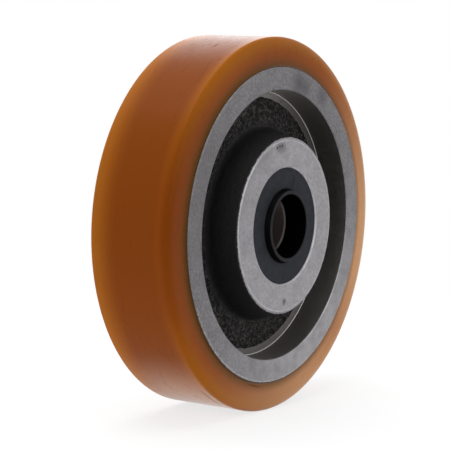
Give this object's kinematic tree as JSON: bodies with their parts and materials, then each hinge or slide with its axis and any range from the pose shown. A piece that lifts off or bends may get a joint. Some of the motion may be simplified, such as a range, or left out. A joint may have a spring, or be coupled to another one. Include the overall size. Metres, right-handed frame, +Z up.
{
  "type": "support wheel",
  "caption": "Heavy-duty wheel: polyurethane tread on a webbed iron core that turns on taper roller bearings behind moulded hub caps.",
  "frame": {"origin": "centre of the wheel, at the middle of the axle bore", "axes": "+Y along the wheel's axis, from the front with the pictured cap to the rear; +Z up"},
  "size_m": [0.2, 0.065, 0.2],
  "materials": {
    "tread": "satin amber polyurethane",
    "core": "black paint on rough casting, with machined rim and hub faces",
    "cap": "satin moulded slate",
    "bearing_steel": "ground",
    "steel": "plain"
  },
  "bodies": {
    "axle_parts": {"spacer_tube": "steel", "front_bearing_cone": "bearing_steel", "rear_bearing_cone": "bearing_steel"},
    "wheel": {"wheel_core": "core", "tread": "tread", "front_cap": "cap", "rear_cap": "cap", "front_bearing_cup": "bearing_steel", "rear_bearing_cup": "bearing_steel"},
    "front_roller_set": {"front_roller_cage": "steel", "front_rollers": "bearing_steel"},
    "rear_roller_set": {"rear_roller_cage": "steel", "rear_rollers": "bearing_steel"}
  },
  "joints": [
    {"name": "wheel_spin", "type": "hinge", "parent": "axle_parts", "child": "wheel", "pos_m": [0, 0, 0], "axis": [0, 1, 0], "continuous": true},
    {"name": "front_roller_orbit", "type": "hinge", "parent": "axle_parts", "child": "front_roller_set", "pos_m": [0, 0, 0], "axis": [0, 1, 0], "continuous": true},
    {"name": "rear_roller_orbit", "type": "hinge", "parent": "axle_parts", "child": "rear_roller_set", "pos_m": [0, 0, 0], "axis": [0, 1, 0], "continuous": true}
  ],
  "couplings": [
    {"joint": "front_roller_orbit", "follows": "wheel_spin", "ratio": 0.5738},
    {"joint": "rear_roller_orbit", "follows": "wheel_spin", "ratio": 0.5738}
  ]
}
